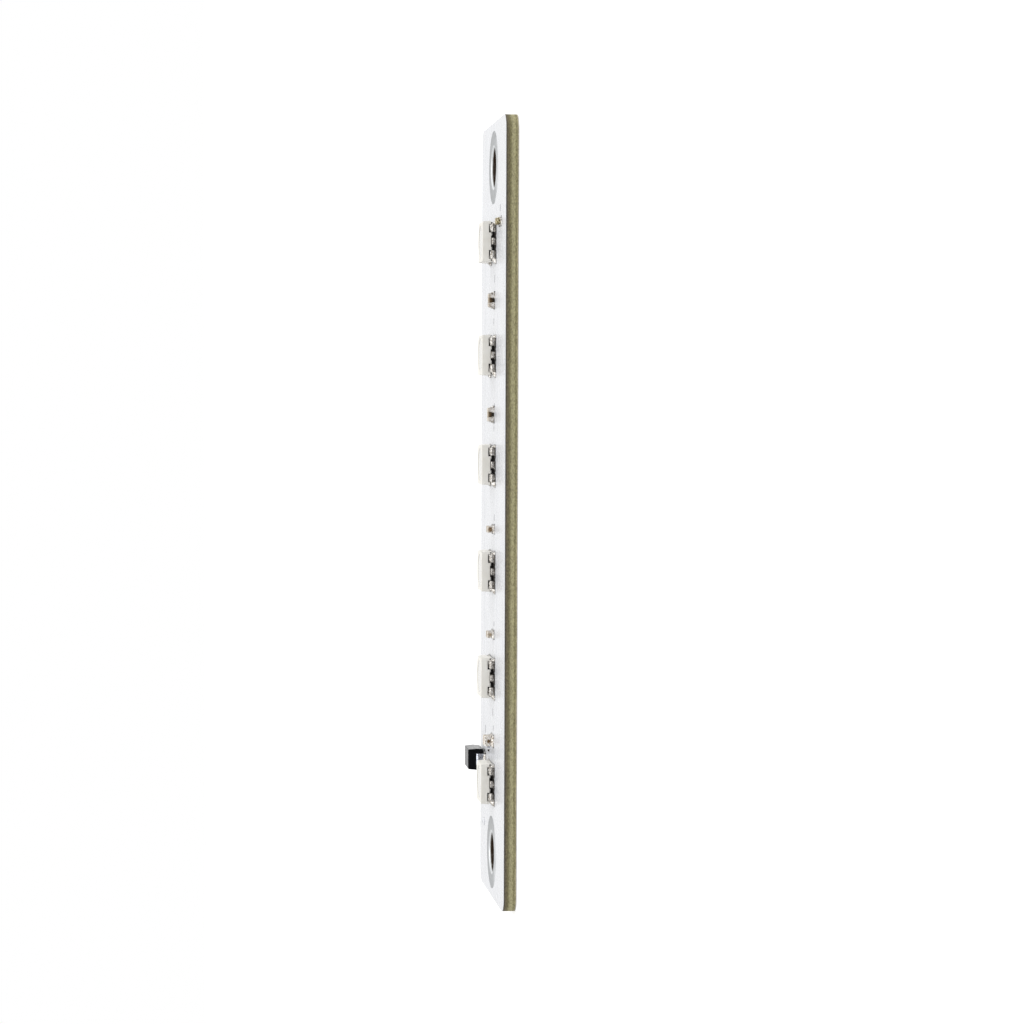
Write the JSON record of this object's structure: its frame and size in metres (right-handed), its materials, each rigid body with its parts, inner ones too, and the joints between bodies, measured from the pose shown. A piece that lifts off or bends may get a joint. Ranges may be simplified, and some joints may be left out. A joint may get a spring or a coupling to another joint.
{
  "type": "led module",
  "caption": "Narrow flat circuit board carrying a row of square surface-mount lights with chip capacitors beside them, a black diode near one end and a plated mounting hole at each end.",
  "frame": {"origin": "middle of the back face of the board", "axes": "+X along the board towards the end with the first light, +Y across it towards the edge with the diode, +Z out of the lit face"},
  "size_m": [0.096, 0.024, 0.0038],
  "materials": {
    "board": "white solder resist, semi-gloss; the cut edge is olive glass-epoxy laminate",
    "tinned_copper": "matt grey hot-dipped tin",
    "led_housing": "cream-white moulded",
    "led_lens": "clear to slightly milky filling",
    "led_dies": "bare semiconductor dies",
    "terminals": "tin plate",
    "solder": "bright solder",
    "capacitor_ceramic": "brown fired ceramic",
    "diode_body": "black moulded epoxy, satin"
  },
  "bodies": {
    "root": {"barrel_1": "tinned_copper", "barrel_2": "tinned_copper", "board": "board", "capacitor_1_body": "capacitor_ceramic", "capacitor_1_solder": "solder", "capacitor_1_terminals": "terminals", "capacitor_2_body": "capacitor_ceramic", "capacitor_2_solder": "solder", "capacitor_2_terminals": "terminals", "capacitor_3_body": "capacitor_ceramic", "capacitor_3_solder": "solder", "capacitor_3_terminals": "terminals", "capacitor_4_body": "capacitor_ceramic", "capacitor_4_solder": "solder", "capacitor_4_terminals": "terminals", "capacitor_5_body": "capacitor_ceramic", "capacitor_5_solder": "solder", "capacitor_5_terminals": "terminals", "capacitor_6_body": "capacitor_ceramic", "capacitor_6_solder": "solder", "capacitor_6_terminals": "terminals", "component_lands": "tinned_copper", "diode_body": "diode_body", "diode_solder": "solder", "diode_terminals": "terminals", "led_1_dies": "led_dies", "led_1_housing": "led_housing", "led_1_lead_frame": "terminals", "led_1_lens": "led_lens", "led_1_solder": "solder", "led_2_dies": "led_dies", "led_2_housing": "led_housing", "led_2_lead_frame": "terminals", "led_2_lens": "led_lens", "led_2_solder": "solder", "led_3_dies": "led_dies", "led_3_housing": "led_housing", "led_3_lead_frame": "terminals", "led_3_lens": "led_lens", "led_3_solder": "solder", "led_4_dies": "led_dies", "led_4_housing": "led_housing", "led_4_lead_frame": "terminals", "led_4_lens": "led_lens", "led_4_solder": "solder", "led_5_dies": "led_dies", "led_5_housing": "led_housing", "led_5_lead_frame": "terminals", "led_5_lens": "led_lens", "led_5_solder": "solder", "led_6_dies": "led_dies", "led_6_housing": "led_housing", "led_6_lead_frame": "terminals", "led_6_lens": "led_lens", "led_6_solder": "solder", "solder_bead": "solder", "via": "tinned_copper", "wire_pads": "tinned_copper"}
  },
  "joints": []
}
